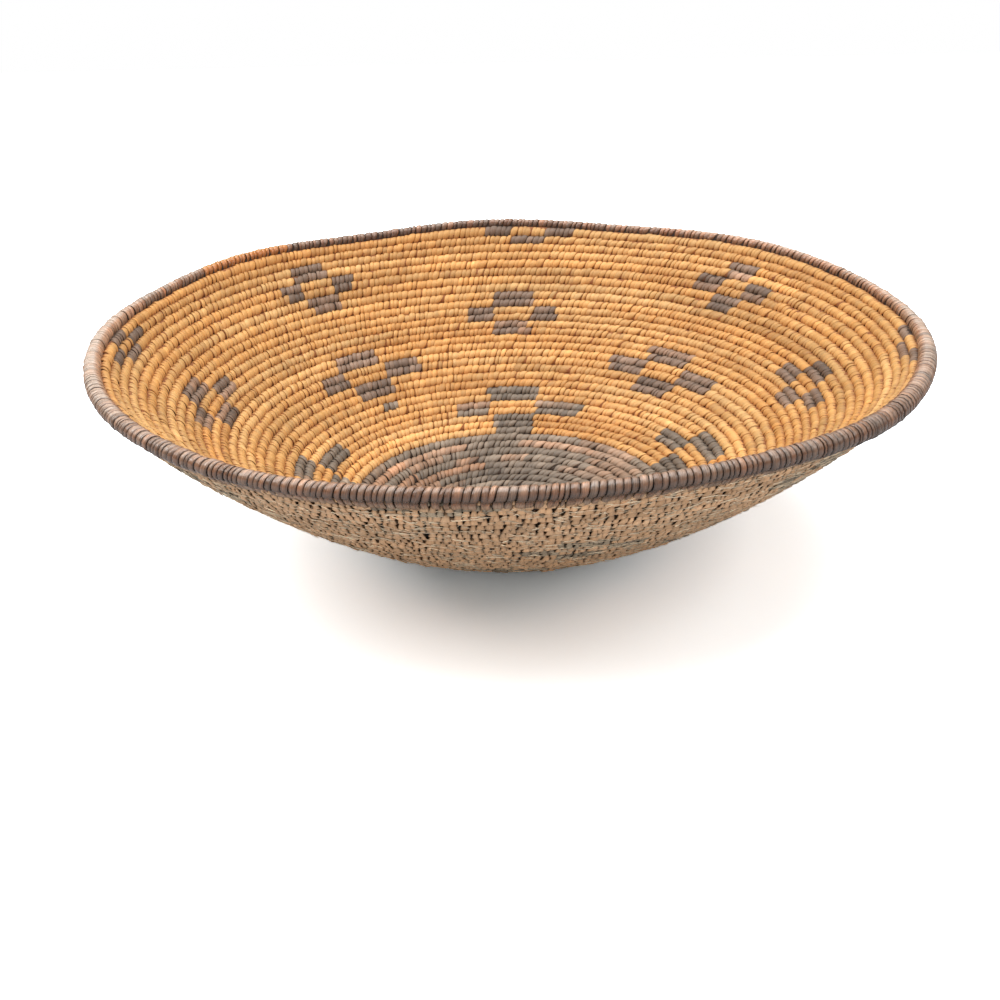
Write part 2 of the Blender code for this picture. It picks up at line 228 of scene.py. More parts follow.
middle_turns = (fine_turns[1:] + fine_turns[:-1]) / 2
fine_count = np.concatenate([[0], np.cumsum(np.diff(fine_length) / spacing(middle_turns))])
stitch_count = int(fine_count[-1])
uneven = np.exp(chance.normal(0, SPACING_SPREAD, stitch_count + 1))
borders = np.concatenate([[0], np.cumsum(uneven)]) / uneven.sum() * fine_count[-1]
borders = np.interp(borders, fine_count, fine_turns)
turns = (borders[1:] + borders[:-1]) / 2
room = np.diff(np.interp(borders, fine_turns, fine_length))
stitch_count = len(turns)
row = COURSES + 1 - np.floor(turns + 0.5)
direction = START_DIRECTION + 2 * math.pi * turns
print(stitch_count, "stitches,", round(float(room.mean() / MM), 2), "mm apart")

# %% [markdown]
# ## The figures
# Each figure is four blocks of dark stitches round a pale one, touching at their corners, like a
# hollow cross. They stand in five rings of four. A weaver makes them by counting: so many courses and
# so many stitches. Here too a stitch is dark when its row and its distance from the figure's middle
# line fall in a block, so a block's edges follow the slant of the stitches, as they do on the basket.

# %% Which stitches are dark
MEAN_STITCH = 2.7 * MM
# Each ring: its name, the first row of the side blocks, counted from the rim, the rows in the top, side
# and bottom blocks, and its figures: the direction of the middle in degrees, and the widths of the
# middle, left and right blocks in mean stitches, left and right as seen from inside
FIGURE_RINGS = (
    ("rim", 1, (0, 1, 1), {
        "right": (353.2, 6.4, 4.4, 4.6),
        "back": (85.9, 6.2, 5.2, 5.6),
    }),
    ("rim", 2, (1, 1, 1), {
        "left": (179.8, 5.4, 5.0, 5.3),
        "front": (261.6, 5.1, 4.9, 4.9),
    }),
    ("ring_2", 5, (2, 2, 2), {
        "back_right": (43.1, 5.6, 5.2, 5.0),
        "back_left": (129.4, 6.5, 3.7, 4.4),
        "front_left": (225, 6.1, 4.6, 4.6),
        "front_right": (315, 6.1, 4.6, 4.6),
    }),
    ("ring_3", 11, (2, 2, 2), {
        "right": (7.6, 6.2, 5.4, 6.0),
        "back": (88.9, 7.0, 4.9, 4.5),
        "left": (176.7, 7.3, 5.4, 6.2),
    }),
    ("ring_3", 13, (2, 2, 2), {
        "front": (281.7, 6.8, 5.5, 5.1),
    }),
    ("ring_4", 17, (2, 2, 2), {
        "back_right": (47.6, 7.9, 6.7, 7.7),
        "back_left": (129.9, 8.0, 5.2, 7.0),
        "front_left": (225, 8.0, 6.7, 6.7),
        "front_right": (315, 8.0, 6.7, 6.7),
    }),
    ("ring_5", 24, (2, 2, 3), {
        "right": (10.3, 8.8, 6.8, 6.7),
        "back": (88.8, 7.7, 5.9, 7.9),
        "left": (181, 7.6, 6.7, 8.6),
        "front": (270, 8.0, 6.7, 6.7),
    }),
)


def turned(angle):
    """The same angle between minus and plus half a turn."""
    return (angle + math.pi) % (2 * math.pi) - math.pi


def in_figure(side_row, rows, degrees, widths):
    """True for each stitch that lies in one of the figure's four blocks."""
    top, side, bottom = rows
    middle_row = side_row - top + (top + side + bottom) / 2
    radius = np.interp(course_border(COURSES - middle_row), TABLE, RADII)
    away = turned(direction - math.radians(degrees)) * radius / MEAN_STITCH
    middle, left, right = widths
    over_under = ((row >= side_row - top) & (row < side_row)) | (
        (row >= side_row + side) & (row < side_row + side + bottom)
    )
    beside = (row >= side_row) & (row < side_row + side) & (away > -middle / 2 - right)
    beside &= (away < middle / 2 + left) & (np.abs(away) > middle / 2)
    return (over_under & (np.abs(away) < middle / 2)) | beside


figures = {}
for ring, side_row, rows, ring_figures in FIGURE_RINGS:
    for place, (degrees, *widths) in ring_figures.items():
        figures[f"figure_{ring}_{place}"] = in_figure(side_row, rows, degrees, widths)
in_any_figure = np.any(list(figures.values()), axis=0)
in_dark_middle = turns < DARK_END
print("stitches in figures:", int(in_any_figure.sum()), "in the dark middle:", int(in_dark_middle.sum()))

# %% [markdown]
# ## Colour, splint by splint
# A splint is long enough for a few dozen stitches, and no two splints dry to the same colour, so the
# wall is dappled in runs. One noise texture over the bowl would blur across the stitches instead. So
# each run of stitches gets one tone, each stitch a little more, and age darkens wide patches. Towards
# the grooves and the edges the stitches are painted darker, painted shade. The outside is dry, pale and
# dusty.

# %% The colours of the stitches


def linear(red, green, blue):
    """A colour as the eye names it, 0 to 255, in the linear numbers that light adds up in."""
    value = np.array([red, green, blue]) / 255
    return np.where(value <= 0.04045, value / 12.92, ((value + 0.055) / 1.055) ** 2.4)


PALE = linear(232, 177, 106)
# The groove colours are painted shade: the stitches are mixed towards them deep in the grooves and along
# their edges
PALE_GROOVE_SHADE = linear(160, 90, 46)
PALE_BACK = linear(231, 186, 143)
PALE_BACK_GROOVE_SHADE = linear(44, 30, 22)
DARK = linear(139, 124, 108)
DARK_FIGURE = linear(146, 120, 101)     # the figures of the wall are browner than the middle
DARK_GROOVE_SHADE = linear(70, 58, 49)
DARK_BACK = linear(170, 152, 128)
DARK_BACK_GROOVE_SHADE = linear(50, 40, 32)
WORN = linear(192, 147, 114)
MIDDLE_ROW = 22                    # from this row inwards the dark stitches are as grey as the middle
RUN = 34                           # stitches in a usual splint
TONE_RUNS, TONE_STITCHES, TONE_PATCHES = 0.08, 0.07, 0.05    # how far the lightness strays
DARK_TONE_POWER = 2.0              # dark stitches differ more in lightness than pale ones
WARMER = np.array([-0.06, -0.13, -0.24])    # what a warmer stitch loses of its red, green and blue
BACK_WARMER = np.array([-0.03, -0.05, -0.08])


def runs(count, spread, seed):
    """One value per stitch that stays the same over each splint and differs from the next splint."""
    lot = np.random.default_rng(seed)
    lengths = lot.integers(RUN // 3, 2 * RUN, count)
    values = lot.normal(0, spread, count)
    return np.repeat(values, lengths)[:count]


def patches(seed, rows_wide, degrees_wide, crossed=7):
    """Soft patches over the wall: a few crossed waves of random place, between about -1 and 1."""
    lot = np.random.default_rng(seed)
    total = np.zeros(stitch_count)
    for _ in range(crossed):
        around = np.round(lot.normal(0, 360 / degrees_wide))
        across = lot.normal(0, 1 / rows_wide)
        total += np.sin(around * direction + 2 * math.pi * across * row + lot.uniform(0, 2 * math.pi))
    return total / math.sqrt(crossed)


tone = np.exp(
    runs(stitch_count, TONE_RUNS, 5) + chance.normal(0, TONE_STITCHES, stitch_count)
    + TONE_PATCHES * patches(8, 9, 40)
)
warmth = runs(stitch_count, 0.5, 6) + 0.5 * patches(9, 12, 60) + chance.normal(0, 0.35, stitch_count)
worn = np.clip(runs(stitch_count, 0.6, 7) + 0.2 + chance.normal(0, 0.12, stitch_count), 0, 1)


# Dark sewing that has worn pale. Where the inside shows from the front, it is told stretch by stretch:
# row, from and to in degrees, share of the worn colour
WORN_STRETCHES = (
    (4, 40, 46, 0.4), (6, 35, 40.5, 0.6), (6, 46, 51.5, 0.6), (7, 125, 133, 0.25), (8, 125, 133, 0.3),
    (9, 171, 176, 0.6), (10, 171, 175, 0.4), (12, 181, 189, 0.5), (12, 165, 172, 0.4), (13, 171, 181, 0.5),
    (13, 84, 88, 0.6), (14, 84, 88, 0.8), (13, 88, 93, 0.3), (15, 42, 53, 0.3), (24, 96, 107, 0.6),
    (24, 68, 81, 0.25), (29, 30, 60, 0.4), (29, 150, 172, 0.2), (30, 143, 170, 0.95), (30, 110, 143, 0.6),
    (30, 46, 84, 0.55), (30, 20, 46, 0.35), (31, 124, 143, 0.55), (31, 20, 50, 0.45), (32, 143, 165, 1.0),
    (32, 104, 119, 0.65), (32, 80, 95, 0.5), (32, 15, 45, 0.4), (33, 104, 155, 0.9), (33, 15, 60, 0.3),
    (34, 136, 165, 0.7), (35, 120, 160, 0.35), (35, 20, 50, 0.25), (36, 130, 170, 0.5),
)
# Behind the front rim it is left to chance
HIDDEN_WEAR = 0.45
behind_rim = np.abs(turned(direction - math.radians(270))) < math.radians(85)
worn = np.clip(HIDDEN_WEAR * worn, 0, 1) * behind_rim
for worn_row, start, end, share in WORN_STRETCHES:
    degrees_from = np.degrees(turned(direction - math.radians(start)))
    in_stretch = (row == worn_row) & (degrees_from >= 0) & (degrees_from < end - start)
    worn = np.where(in_stretch, share * np.exp(chance.normal(0, 0.15, stitch_count)), worn)
# Two dark stitches stand alone beside a figure
in_stray_spot = (row == 22) & (np.abs(np.degrees(turned(direction - math.radians(128.6)))) < 2.0)


def stitch_colours(dark):
    """Four colours for each stitch: its crest and the painted shade of its groove, inside and outside."""
    pick = dark[:, None]
    warm = np.clip(warmth, -1.5, 1.5)[:, None]
    pale = PALE * np.exp(warm * WARMER)
    fresh = np.where((in_any_figure & (row < MIDDLE_ROW))[:, None], DARK_FIGURE, DARK)
    inner = np.where(pick, fresh + (WORN - fresh) * np.clip(worn, 0, 1.1)[:, None], pale)
    outer = np.where(pick, DARK_BACK, PALE_BACK * np.exp(warm * BACK_WARMER))
    low = np.where(pick, DARK_GROOVE_SHADE, PALE_GROOVE_SHADE)
    outer_low = np.where(pick, DARK_BACK_GROOVE_SHADE, PALE_BACK_GROOVE_SHADE)
    shade = (tone ** np.where(dark, DARK_TONE_POWER, 1.0))[:, None]
    return [colour * shade for colour in (inner, low, outer, outer_low)]


is_dark = in_any_figure | in_dark_middle | in_stray_spot
crest_colour, groove_shade_colour, back_colour, back_groove_shade_colour = stitch_colours(is_dark)
print("mean colour of the stitches", crest_colour.mean(axis=0).round(3))

# %% [markdown]
# ## One stitch
# On the basket a stitch comes out of the hole under its course, climbs the outside, turns over the
# top of the coil, runs down the inside, and goes back through the next hole. It could be a bent
# curve with a bevel, but nine thousand curves are slow. Instead it is a function of two numbers: how
# far along the splint, and how far across it. The splint is flat below and rounded on top.
# The sewing moves on by one stitch a loop, which is why the stitches lean.

# %% The shape of a stitch
# Path of a stitch round its course, in millimetres: along the wall from the middle of the course, and
# towards the inside. It leaves the hole in the course below, runs up the outside, over the top, down
# the inside and back into the next hole
PATH = np.array([
    (-1.9, -0.6), (-2.4, -1.6), (-2.05, -2.45), (-1.1, -2.95), (0.2, -3.05), (1.35, -2.6), (1.85, -0.9),
    (1.9, 0.8), (1.5, 1.75), (0.75, 2.25), (-0.15, 2.4), (-1.05, 2.2), (-1.85, 1.75), (-2.5, 1.2),
    (-2.75, 0.4),
]) * MM
LOOP = len(PATH)                   # points along a stitch
# Share of the full width at each of these points: the stitch is pinched where it turns over the top
WIDTH = np.array([
    0.75, 0.88, 0.98, 0.98, 0.86, 0.64, 0.5, 0.66, 0.86, 1.0, 1.04, 1.0, 0.9, 0.72, 0.5,
])
SPLINT_INSIDE = 0.42 * MM           # thickness of the splint on the rubbed inside
SPLINT_OUTSIDE = 0.3 * MM
# Across the splint: place of each point from edge to edge, and its share of the thickness
DOME = np.array([(-1.0, 0.0), (-0.66, 0.72), (0.0, 1.0), (0.66, 0.72), (1.0, 0.0)])


def with_normals(across, lift):
    """A closed path round the coil's section with its outward normals: its steps, turned a quarter."""
    steps = np.stack([np.gradient(across, axis=-1), np.gradient(lift, axis=-1)], axis=-1)
    steps /= np.linalg.norm(steps, axis=-1, keepdims=True)
    return across, lift, np.stack([steps[..., 1], -steps[..., 0]], axis=-1)


def splint_loops(place, width, radius, path, thickness, width_share, lean, tilt, dome):
    """Strips that follow a path round the coil, one for each stitch.

    A point is the path's point, moved along the outward normal by the dome's share of the thickness,
    and along the coil by the dome's place times half the width, the lean of the stitch at that angle,
    and turned into a direction by the coil's radius. The result has axes stitch, along, across, xyz.
    """
    distance, direction = place
    across, lift, normal = path
    side = dome[:, 0] * (width[:, None] * width_share)[..., None] / 2
    rise = dome[:, 1] * thickness[..., None] + dome[:, 0] * tilt[:, None, None]
    along = side + lean[..., None]
    points = wall_point(
        distance[:, None, None] + across[..., None] + normal[..., :1] * rise,
        direction[:, None, None] + along / radius[:, None, None],
        lift[..., None] + normal[..., 1:] * rise,
    )
    return points


print("points in a stitch:", LOOP * len(DOME))

# %% [markdown]
# ## From points to a mesh
# Blender's own tools add faces one at a time. All stitches have the same faces, so the face list of
# one is worked out once, and copied with an offset for each stitch.

# %% Meshes from grids of points


def tube_faces(along, across):
    """Faces of one closed strip: four-sided ones round it, and one at each end."""
    first, second = np.meshgrid(np.arange(along - 1), np.arange(across), indexing="ij")
    following = (second + 1) % across
    corners = [first * across + second, first * across + following]
    corners += [(first + 1) * across + following, (first + 1) * across + second]
    sides = np.stack(corners, axis=-1).reshape(-1, 4)
    ends = np.array([np.arange(across)[::-1], (along - 1) * across + np.arange(across)])
    return sides, ends


def strips_mesh(name, points, colours, lie):
    """A mesh of many closed strips from points with axes strip, along, across, xyz.

    Its colour and the place on the splint go into attributes that the materials read.
    """
    strips, along, across, _ = points.shape
    sides, ends = tube_faces(along, across)
    offset = (np.arange(strips) * along * across)[:, None, None]
    loops = np.concatenate([(sides + offset).reshape(-1), (ends + offset).reshape(-1)])
    sizes = np.concatenate([np.full(strips * len(sides), 4), np.full(strips * 2, across)])
    mesh = bpy.data.meshes.new(name)
    mesh.vertices.add(strips * along * across)
    mesh.loops.add(len(loops))
    mesh.polygons.add(len(sizes))
    mesh.vertices.foreach_set("co", points.reshape(-1).astype(np.float32))
    mesh.loops.foreach_set("vertex_index", loops.astype(np.int32))
    mesh.polygons.foreach_set("loop_start", np.concatenate([[0], np.cumsum(sizes)[:-1]]).astype(np.int32))
    mesh.polygons.foreach_set("use_smooth", np.ones(len(sizes), dtype=bool))
    mesh.update(calc_edges=True)
    mesh.validate()
    tint = mesh.attributes.new("sewing_colour", "FLOAT_COLOR", "POINT")
    opaque = np.concatenate([colours, np.ones((*colours.shape[:-1], 1))], axis=-1)
    tint.data.foreach_set("color", opaque.reshape(-1).astype(np.float32))
    flat = mesh.attributes.new("splint_lie", "FLOAT_VECTOR", "POINT")
    flat.data.foreach_set("vector", lie.reshape(-1).astype(np.float32))
    piece = bpy.data.objects.new(name, mesh)
    bpy.context.scene.collection.objects.link(piece)
    return piece


print("faces in a stitch:", len(tube_faces(LOOP, len(DOME))[0]) + 2)

# %% [markdown]
# ## All the stitches of the wall
# Every stitch differs a little in length, width, thickness, lean and tilt. A tilted stitch has one edge
# under its neighbour, which gives the fine dark slits that show on the left of the bowl. The stitches
# lean more in the middle, where the coil turns tightly. Outside, nobody sees them, so there they stray
# along the coil, in their slant and in their lift.

# %% The stitches of the wall, worked out at once


def spread(share):
    """Random values round 1, one for each stitch, with this spread."""
    return np.exp(chance.normal(0, share, stitch_count))


ROW_STRAY, STITCH_STRAY = 0.14 * MM, 0.15 * MM    # how far rows and single stitches stray up or down
OUTSIDE_STRAY = 0.28 * MM
STITCH_FILL = 1.13                 # width of a stitch over its room: neighbours overlap a little
LEANING_SHARE = 0.9                # how much more the stitches of the middle lean
LEANING_TURNS = 6                  # over how many turns that fades out
middle, coil_width, _ = coil_place(turns)
middle = middle + ROW_STRAY * patches(21, 3, 12) + chance.normal(0, STITCH_STRAY, stitch_count)
full = (np.minimum(coil_width / PITCH, 1.08) * spread(0.035))[:, None]
swell = (thinned(coil_width) * spread(0.03))[:, None]
path = with_normals(PATH[:, 0] * full, PATH[:, 1] * swell)
radius = np.maximum(np.interp(middle, TABLE, RADII), 1.2 * MM)
loop_share = np.linspace(0, 1, LOOP)
inside = np.clip((path[1] / HALF_WALL + 0.35) / 0.5, 0, 1)
thickness = (SPLINT_OUTSIDE + (SPLINT_INSIDE - SPLINT_OUTSIDE) * inside) * spread(0.22)[:, None]
pinch = np.clip(spread(0.2), 0.5, 1.5)[:, None]
width_share = 1 - (1 - WIDTH) * pinch
lean_share = (1 + runs(stitch_count, 0.15, 31) + chance.normal(0, 0.06, stitch_count))[:, None]
lean_path = np.interp(loop_share, [0, 0.45, 1], [-0.4, -0.1, 0.75])
in_middle = np.clip((DARK_END + 2 - turns) / LEANING_TURNS, 0, 1)
lean_share = lean_share * (1 + LEANING_SHARE * in_middle)[:, None]
lean = room[:, None] * lean_share * lean_path + chance.normal(0, 0.08 * MM, stitch_count)[:, None]
outside = 1 - inside
stray = chance.normal(0, OUTSIDE_STRAY, (3, stitch_count, 1))
lean = lean + outside * (stray[0] + 2.2 * stray[1] * (loop_share - 0.22))
path[1][:] = path[1] - outside * np.abs(stray[2]) * 0.6
tilt = chance.normal(0.06 * MM, 0.09 * MM, stitch_count)
stitch_points = splint_loops(
    (middle, direction), room * STITCH_FILL * spread(0.1), radius, path, thickness, width_share, lean, tilt,
    DOME,
)
print("stitch grid:", stitch_points.shape)

# %% [markdown]
# The colour darkens from crest to groove, painted shade, by how far a point lies under the crest, and
# runs from inside to outside by which side of the wall it lies on. The lie of the splint, in millimetres
# along and across it, is kept too, so that the fibres of the material run along the stitch.

# %% Colour and lie for every point
CREST_LIFT = 2.5 * MM              # height over the middle of the wall above which a crest gets no painted shade
BACK_LIFT = 2.2 * MM               # the same outside
GROOVE_SHADE_SHARE, EDGE_SHADE_SHARE = 1.4, 0.1    # how much painted shade lies in the grooves and along the edges
BACK_GROOVE_SHADE_SHARE, BACK_EDGE_SHADE_SHARE = 1.6, 0.4
# Painted shade: darker the deeper a point lies under the crest, and towards the splint's edges
depth = np.clip(1 - path[1] / CREST_LIFT, 0, 1) ** 1.1
edge = np.abs(DOME[:, 0]) ** 3
painted_shade = np.clip(depth[..., None] * GROOVE_SHADE_SHARE + edge * EDGE_SHADE_SHARE, 0, 1)[..., None]
back_depth = np.clip(1 + path[1] / BACK_LIFT, 0, 1) * (path[0] > 0)
back_painted_shade = np.clip(back_depth[..., None] * BACK_GROOVE_SHADE_SHARE + edge * BACK_EDGE_SHADE_SHARE, 0, 1)[..., None]
inner_colour = crest_colour[:, None, None] * (1 - painted_shade) + groove_shade_colour[:, None, None] * painted_shade
outer_colour = back_colour[:, None, None] * (1 - back_painted_shade) + back_groove_shade_colour[:, None, None] * back_painted_shade
on_inside = inside[..., None, None]
stitch_colour = inner_colour * on_inside + outer_colour * (1 - on_inside)
stitch_lie = np.stack(
    np.broadcast_arrays(
        (loop_share * 11)[:, None], DOME[:, 0] * 1.35, (np.arange(stitch_count) * 3.7)[:, None, None]
    ),
    axis=-1,
)
print("colour grid:", stitch_colour.shape)

# %% [markdown]
# ## The splint's finish
# A split stem is smooth and slightly waxy on the rubbed inside, and dry outside. Its fibres are long
# fine streaks, so the noise is stretched along the splint by reading the lie, not the object's place.
# The same streaks give a faint relief.

# %% The splint material


def splint_material(name, roughness, streaks, relief, gloss=0.5):
    """Base colour from the stitch's own colour times fine streaks, with relief from the same streaks."""
    material = bpy.data.materials.new(name)
    material.use_nodes = True
    nodes, links = material.node_tree.nodes, material.node_tree.links
    shader = nodes["Principled BSDF"]
    tint = nodes.new("ShaderNodeAttribute")
    tint.attribute_name = "sewing_colour"
    lie = nodes.new("ShaderNodeAttribute")
    lie.attribute_name = "splint_lie"
    stretch = nodes.new("ShaderNodeMapping")
    stretch.inputs["Scale"].default_value = (0.35, 5.0, 1.0)
    links.new(lie.outputs["Vector"], stretch.inputs["Vector"])
    fibres = nodes.new("ShaderNodeTexNoise")
    fibres.inputs["Scale"].default_value = 1.0
    fibres.inputs["Detail"].default_value = 4.0
    fibres.inputs["Roughness"].default_value = 0.65
    links.new(stretch.outputs["Vector"], fibres.inputs["Vector"])
    contrast = nodes.new("ShaderNodeMapRange")
    contrast.inputs["From Min"].default_value = 0.3
    contrast.inputs["From Max"].default_value = 0.7
    contrast.inputs["To Min"].default_value = 1 - streaks
    contrast.inputs["To Max"].default_value = 1 + streaks * 0.6
    links.new(fibres.outputs["Fac"], contrast.inputs["Value"])
    streaked = nodes.new("ShaderNodeVectorMath")
    streaked.operation = "SCALE"
    links.new(tint.outputs["Color"], streaked.inputs[0])
    links.new(contrast.outputs["Result"], streaked.inputs["Scale"])
    links.new(streaked.outputs["Vector"], shader.inputs["Base Color"])
    bump = nodes.new("ShaderNodeBump")
    bump.inputs["Strength"].default_value = relief
    bump.inputs["Distance"].default_value = 0.15 * MM
    links.new(fibres.outputs["Fac"], bump.inputs["Height"])
    links.new(bump.outputs["Normal"], shader.inputs["Normal"])
    shader.inputs["Roughness"].default_value = roughness
    shader.inputs["Specular IOR Level"].default_value = gloss
    return material


splint = splint_material("sewing_splint", 0.5, 0.22, 0.5)
rim_splint = splint_material("rim_splint", 0.2, 0.7, 1.0, gloss=1.0)
rod = splint_material("foundation_rod", 0.8, 0.3, 0.6)
print("materials:", [material.name for material in (splint, rim_splint, rod)])

# %% [markdown]
# ## The pieces of sewing
# The sewing is one run on the basket. Here it is cut into the same lengths as the coil it wraps, and
# each figure is a piece of its own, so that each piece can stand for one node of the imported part.

# %% Cut the sewing into its pieces
MOST_STITCHES = 1300               # in one piece, which keeps it under 200,000 triangles


def sewing_piece(name, chosen, node):
    """A piece made of the chosen stitches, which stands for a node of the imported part."""
    piece = strips_mesh(name, stitch_points[chosen], stitch_colour[chosen], stitch_lie[chosen])
    piece.data.materials.append(splint)
    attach(piece, "root")
    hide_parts(node)
    return piece


def sewing_length(node, start, end):
    """The stitches between two places that belong to no figure, in as few pieces as will hold them."""
    chosen = np.flatnonzero((turns >= start) & (turns < end) & ~in_any_figure)
    parts = math.ceil(len(chosen) / MOST_STITCHES)
    for count, some in enumerate(np.array_split(chosen, parts), start=1):
        ending = f"_{count}" if parts > 1 else ""
        sewing_piece(f"{node.replace('_coil', '')}_sewing{ending}", some, node)
    print(node, len(chosen), "stitches in", parts, "piece(s)")


sewing_length("starting_knot", 0, KNOT_END)
sewing_length("dark_centre_coil", KNOT_END, DARK_END)
sewing_length("lower_wall_coil", DARK_END, SPLICE)
sewing_length("upper_wall_coil", SPLICE, LAST_TURN + 1)
for name, chosen in figures.items():
    sewing_piece(f"{name}_stitches", np.flatnonzero(chosen), name)
print("figures:", len(figures))

# %% [markdown]
# ## The foundation
# Between the stitches the foundation can be guessed. It could be a bundle of rods, but it is always in
# shade, so a plain tube that fills the stitches is enough. It is a grid of places along the coil by
# points round its section, cut into two lengths. Under dark stitches it is dark too, because what shows
# through a gap there has the colour of the splints round it.

# %% The foundation tube
FOUNDATION_STEPS = 120             # places in one turn
FOUNDATION_CORNERS = 12
FOUNDATION_LIFT = 2.35 * MM        # half its thickness
FOUNDATION_FILL = 0.7              # how square the section is inside, so that the grooves are shallow there
FOUNDATION_HOLLOW = 1.3            # how pointed it is outside, so that the holes are deep there
FOUNDATION = linear(158, 98, 56)
FOUNDATION_BACK_SHADE = linear(40, 30, 22)
FOUNDATION_DARK = linear(66, 50, 40)


def foundation(name, start, end):
    """A tube along the coil: an oval as wide as the course and a little under the stitches."""
    places = np.linspace(start, end, int((end - start) * FOUNDATION_STEPS))
    distance, width, direction = coil_place(places)
    around = np.linspace(0, 2 * math.pi, FOUNDATION_CORNERS, endpoint=False)
    across = np.cos(around) * width[:, None] / 2
    rounding = np.where(np.sin(around) > 0, FOUNDATION_FILL, FOUNDATION_HOLLOW)
    lift = np.sign(np.sin(around)) * np.abs(np.sin(around)) ** rounding * FOUNDATION_LIFT
    lift = lift * thinned(width)[:, None]
    points = wall_point(distance[:, None] + across, direction[:, None], lift)[None]
    # The outer half is painted near black: painted shade in the deep holes of the outside
    shade = np.clip(0.5 + np.sin(around), 0, 1)[:, None]
    under_dark = np.interp(places, turns, is_dark)[:, None, None]
    top = FOUNDATION * (1 - under_dark) + FOUNDATION_DARK * under_dark
    colours = np.broadcast_to(top * shade + FOUNDATION_BACK_SHADE * (1 - shade), points.shape)
    length = route_length(places) / MM
    lie = np.stack(np.broadcast_arrays(length[:, None], around, 0.0), axis=-1)[None]
    piece = strips_mesh(name, points, colours, lie)
    piece.data.materials.append(rod)
    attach(piece, "root")
    return piece


for part, start, end in (("inner", 0.55, SPLICE), ("outer", SPLICE, LAST_TURN)):
    print(foundation(f"foundation_{part}", start, end).name)

# %% [markdown]
# ## The rim
# The rim is a thicker coil with its own sewing, polished by hands. Its stitches are wide, slanted
# splints with open dark gaps between them, and stand nearly upright at the front right. Each comes out
# of a hole below the top course, so its lower end runs over the outside of that course before it turns
# round the rim. The rim is thick here and thin there, and the same strip function follows it.

# %% The stitches of the rim
RIM_REACH = 3.0 * MM               # from the end of the wall up to the rim's middle
RIM_SET_BACK = 1.0 * MM            # how far the rim's middle lies outside the middle of the wall
RIM_STITCH = 2.6 * MM              # from one stitch to the next on the rim
# First part of a rim stitch, over the top course's outside, in millimetres: along the wall from its end,
# and towards the inside from its middle
RIM_SKIRT = np.array([
    (-4.6, -1.2), (-5.1, -2.2), (-4.4, -2.95), (-3.0, -3.1), (-1.4, -3.05), (0.1, -2.9),
]) * MM
# Second part, round the rim and back into the hole below it, in shares of the rim's radius
RIM_PATH = np.array([
    (-0.74, -0.75), (-0.42, -0.92), (0.0, -1.0), (0.5, -0.87), (0.87, -0.5), (1.0, 0.0), (0.87, 0.5),
    (0.5, 0.87), (0.0, 1.0), (-0.5, 0.87), (-0.88, 0.6), (-1.2, 0.35), (-1.4, 0.0),
])
RIM_LOOP = len(RIM_SKIRT) + len(RIM_PATH)
RIM_WIDTH = np.interp(np.arange(RIM_LOOP), [0, 1, 5, 15, 18], [0.9, 1.06, 1, 1, 0.7])
RIM_DOME = np.array(
    [(-1.0, 0.0), (-0.8, 0.62), (-0.4, 0.95), (0.0, 1.0), (0.4, 0.95), (0.8, 0.62), (1.0, 0.0)]
)
RIM_LEAN = 2.2 * MM                # how far a stitch leans from its lower end to its upper one
UPRIGHT_AT, UPRIGHT_REACH = math.radians(304), math.radians(32)    # where the stitches stand upright
UPRIGHT_SHARE = 0.85               # share of the lean that they lose there
rim_chance = np.random.default_rng(12)
rim_fine = np.linspace(0, 2 * math.pi, 2000)
rim_distance = WALL_LENGTH + RIM_REACH
rim_line = wall_point(rim_distance, rim_fine, -RIM_SET_BACK)
rim_length = np.concatenate([[0], np.cumsum(np.linalg.norm(np.diff(rim_line, axis=0), axis=1))])
rim_count = round(float(rim_length[-1]) / RIM_STITCH)
rim_uneven = np.exp(rim_chance.normal(0, 0.22, rim_count))
rim_borders = np.concatenate([[0], np.cumsum(rim_uneven)]) / rim_uneven.sum() * rim_length[-1]
rim_room = np.diff(rim_borders)
rim_direction = np.interp((rim_borders[1:] + rim_borders[:-1]) / 2, rim_length, rim_fine)
rim_swell = RIM_SWELL + waves(RIM_SWELL_WAVES, rim_direction) + rim_chance.normal(0, 0.015, rim_count)
rim_thin = rim_rise(rim_direction)
rim_round = RIM_PATH * RIM_CORE * rim_swell[:, None, None]
rim_round += np.stack([rim_thin, np.full(rim_count, -RIM_SET_BACK)], axis=-1)[:, None]
skirt_end = np.interp(np.arange(len(RIM_SKIRT)), [0, 3, 5], [1, 0.7, 0])
rim_skirt = np.repeat((RIM_SKIRT - (RIM_REACH, 0))[None], rim_count, axis=0)
rim_skirt[..., 0] += rim_chance.normal(0, 0.3 * MM, rim_count)[:, None] * skirt_end
rim_path = with_normals(*np.moveaxis(np.concatenate([rim_skirt, rim_round], axis=1), -1, 0))
rim_share = np.linspace(0, 1, RIM_LOOP)
rim_radius = np.linalg.norm(wall_point(rim_distance, rim_direction, -RIM_SET_BACK)[:, :2], axis=1)
upright = np.clip(1 - np.abs(turned(rim_direction - UPRIGHT_AT)) / UPRIGHT_REACH, 0, 1)
rim_lean = RIM_LEAN * (1 - UPRIGHT_SHARE * upright) * np.exp(rim_chance.normal(0, 0.25, rim_count))
rim_lean = rim_lean[:, None]
rim_lean = rim_lean * (np.clip(rim_share, 0.25, 1) - 0.6) * 2
rim_thick = (RIM_SPLINT * np.exp(rim_chance.normal(0, 0.2, rim_count)))[:, None]
rim_thick = rim_thick * np.interp(np.arange(RIM_LOOP), [0, 5], [0.3, 1])
rim_points = splint_loops(
    (np.full(rim_count, rim_distance), rim_direction), rim_room, rim_radius, rim_path, rim_thick,
    RIM_WIDTH, rim_lean, rim_chance.normal(0, 0.1 * MM, rim_count), RIM_DOME,
)
print("rim stitches:", rim_count)
